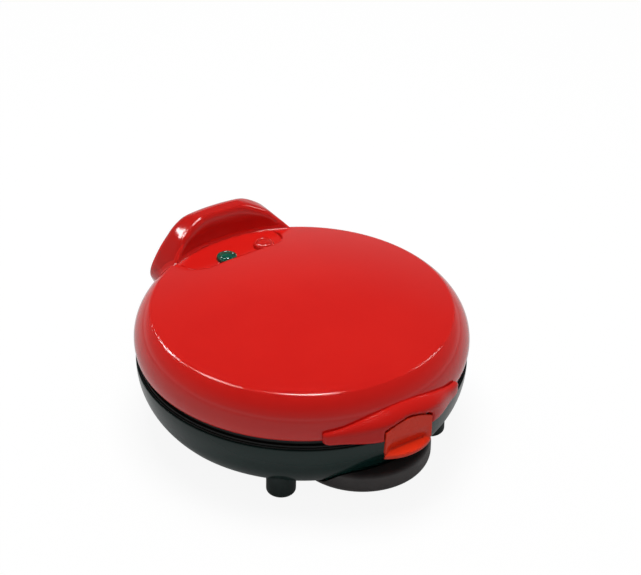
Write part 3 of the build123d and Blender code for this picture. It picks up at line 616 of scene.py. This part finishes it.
# Cord gland: a plug in the bowl's wall and a tapered sleeve with rings, open along its bore
gland_height = 0.036
gland_corners = [(3.45, 115.2), (7.9, 115.2), (7.9, 117.4)]
gland_corners += [(6.0, 117.4), (6.0, 120.2), (8.9, 120.2), (9.0, 120.8)]
ring_count, ring_pitch, ring_depth, ring_taper = 6, 3.4, 0.9, 0.36
for ring in range(ring_count):
    reach, radius = 121.6 + ring * ring_pitch, 8.6 - ring * ring_taper
    gland_corners += [(radius, reach), (radius, reach + 1.5)]
    gland_corners += [(radius - ring_depth, reach + 1.8), (radius - ring_depth, reach + 3.1)]
gland_corners += [(6.5, 141.9), (3.5, 141.9), (3.45, 115.2)]
gland = spun("cord_gland_rings", gland_corners, (0, 0, gland_height), side=up, along=to_back)
hand_over(gland, black_matte, "base", "black_matte", "cord_gland")

# Latch: an arched shell that dips in a scoop above its finger lip, its sizes in millimetres
latch_half, latch_face, latch_foot = 20.5, 136.0, 47.6
latch_crown, latch_shoulder = 76.6, 70.8
lip_reach, lip_bow = 141.8, 6.4
scoop_depth, scoop_fade = 2.6, 0.35


def bowed(peak, bow, x):
    """Arc across the latch, at its peak in the middle and lower by the bow at both sides."""
    radius = (latch_half**2 + bow**2) / (2 * bow)
    return peak - radius + math.sqrt(radius**2 - x * x)


def latch_skin(across, down):
    """Point of the latch's front, from -1 to 1 across and 0 to 1 from crown to underside."""
    x = across * latch_half
    crown = bowed(latch_crown, latch_crown - latch_shoulder, x)
    lip = bowed(lip_reach, lip_bow, x)
    fullness = eased((1 - abs(across)) / scoop_fade)
    crease = latch_face - 0.3 - scoop_depth * fullness
    # Share of the way down, reach towards the front, and height
    stations = (
        (0.00, latch_face, crown),
        (0.30, latch_face, 64.0),
        (0.45, latch_face - 0.7 * fullness, 59.6),
        (0.58, crease + 0.5 * fullness, 55.4),
        (0.66, crease, 53.4),
        (0.72, crease + 0.7 * fullness, 52.7),
        (0.86, lip - 1.2, 51.9),
        (0.91, lip - 0.25, 51.2),
        (0.95, lip, 50.0),
        (0.98, lip - 0.2, 48.5),
        (1.00, lip - 1.2, latch_foot),
    )
    spans = zip(stations, stations[1:])
    (start, near, high), (end, far, low) = next(span for span in spans if down <= span[1][0])
    share = (down - start) / (end - start)
    return Vector((x, -(near + (far - near) * share), high + (low - high) * share)) / 1000


bpy.ops.object.select_all(action="DESELECT")
columns, rows = 48, 66
bpy.ops.mesh.primitive_grid_add(x_subdivisions=columns, y_subdivisions=rows, size=2)
latch_piece = bpy.context.object
for vertex in latch_piece.data.vertices:
    vertex.co = latch_skin(vertex.co.x, (1 - vertex.co.y) / 2)
bpy.ops.object.mode_set(mode="EDIT")
bpy.ops.mesh.select_all(action="SELECT")
bpy.ops.mesh.region_to_loop()
bpy.ops.mesh.select_all(action="INVERT")
bpy.ops.mesh.vertices_smooth(factor=0.5, repeat=2)
bpy.ops.object.mode_set(mode="OBJECT")
soft_corner = {"segments": 3, "limit_method": "ANGLE"}
apply_modifier(latch_piece, "SOLIDIFY", thickness=0.0018, offset=-1)
apply_modifier(latch_piece, "BEVEL", width=0.0007, angle_limit=math.radians(50), **soft_corner)

# Behind the latch: the roll round its pin, and the bead that holds the catch
latch_parts = [latch_piece]
for place, radius, length in (
    ((0, -0.1314, 0.0726), 0.0030, 0.0320),
    ((0, -0.1294, 0.0546), 0.0022, 0.0180),
):
    bpy.ops.mesh.primitive_cylinder_add(
        vertices=40, radius=radius, depth=length, location=place, rotation=(0, math.pi / 2, 0)
    )
    roll = bpy.context.object
    apply_modifier(roll, "BEVEL", width=0.0005, **soft_corner)
    latch_parts.append(roll)
select_only(*latch_parts)
bpy.ops.object.join()
latch_piece = settled("latch_scoop", crease=40)
hand_over(latch_piece, red_satin, "latch", "red_gloss", "latch")

# Floor: a wide pale sweep, white to the camera and to reflections, with a light shadow
floor_width, floor_glow = 8, 1.07
glow_to_camera, glow_to_shine = 0.85, 0.12
bpy.ops.mesh.primitive_plane_add(size=floor_width)
floor = bpy.context.object
floor.name = "floor"
floor_white = Finish(
    "floor_white", base_color=(0.70, 0.70, 0.70), roughness=0.9, specular_ior_level=0.1
)
camera_ray, glossy_ray, clear_ray = floor_white.rays()
blend = {
    0: camera_ray * glow_to_camera + (glossy_ray + clear_ray) * glow_to_shine,
    1: Wire(floor_white, floor_white.surface.outputs[0]),
    2: floor_white.node("ShaderNodeEmission", {}, {"Color": white, "Strength": floor_glow}),
}
floor_white.join(
    floor_white.node("ShaderNodeMixShader", {}, blend),
    floor_white.tree.nodes["Material Output"].inputs["Surface"],
)
coat(floor, floor_white)

# World: white to the camera, an even soft light, and for shine darker overhead than low down
soft_light = 0.27
studio = bpy.data.worlds.new("studio")
bpy.context.scene.world = studio
sky = Nodes(studio)
height = sky.height_in(sky.node("ShaderNodeTexCoord", {}, {}, "Generated"))
greys = ((0, 0.75), (0.05, 0.60), (0.17, 0.32), (0.35, 0.22), (0.55, 0.10), (1, 0.05))
stops = [(position, (grey,) * 3) for position, grey in greys]
shiny = sky.node("ShaderNodeValToRGB", {"stops": stops}, {0: height})
camera_ray, glossy_ray, clear_ray = sky.rays()
strength = camera_ray + (glossy_ray + clear_ray) * shiny
strength = strength + (1 - camera_ray) * (1 - glossy_ray) * (1 - clear_ray) * soft_light
background = sky.tree.nodes["Background"]
background.inputs["Color"].default_value = white
sky.join(strength, background.inputs["Strength"])


def softbox(name, azimuth, elevation, distance, width, depth, watts, shine=False, lit=None):
    """Area lamp turned to the object, for soft light or for shine, on all or one collection."""
    away = heading(azimuth, elevation)
    turn = away.to_track_quat("Z", "Y").to_euler()
    bpy.ops.object.light_add(type="AREA", location=aim + away * distance, rotation=turn)
    lamp = bpy.context.object
    lamp.name = name
    lamp.data.shape = "RECTANGLE"
    lamp.data.size, lamp.data.size_y = width, depth
    lamp.data.energy = watts
    lamp.visible_diffuse, lamp.visible_glossy = not shine, shine
    lamp.light_linking.receiver_collection = lit


def lit_group(name, *pieces):
    """Collection of the pieces that a lamp is meant for."""
    group = bpy.data.collections.new(name)
    for piece in pieces:
        group.objects.link(piece)
    return group


# Lamps: their direction in degrees, distance, width, depth and watts
lid_shine = lit_group("lid_shine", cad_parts["lid_cover"], hood, *lenses)
latch_light = lit_group("latch_light", latch_piece)
softbox("shine_rear_left", -153, 43, 1.5, 0.34, 0.34, 9.5, shine=True, lit=lid_shine)
softbox("shine_high_left", -137, 65, 1.5, 0.24, 0.40, 7.5, shine=True, lit=lid_shine)
softbox("shine_overhead", 108, 81, 1.5, 0.30, 0.36, 11.0, shine=True, lit=lid_shine)
softbox("shine_right", 94, 42, 1.6, 0.16, 0.40, 2.2, shine=True, lit=lid_shine)
softbox("key_overhead", 160, 82, 1.6, 0.8, 0.8, 18.5)
softbox("latch_fill", -20, 72, 1.4, 0.3, 0.3, 10.0, lit=latch_light)
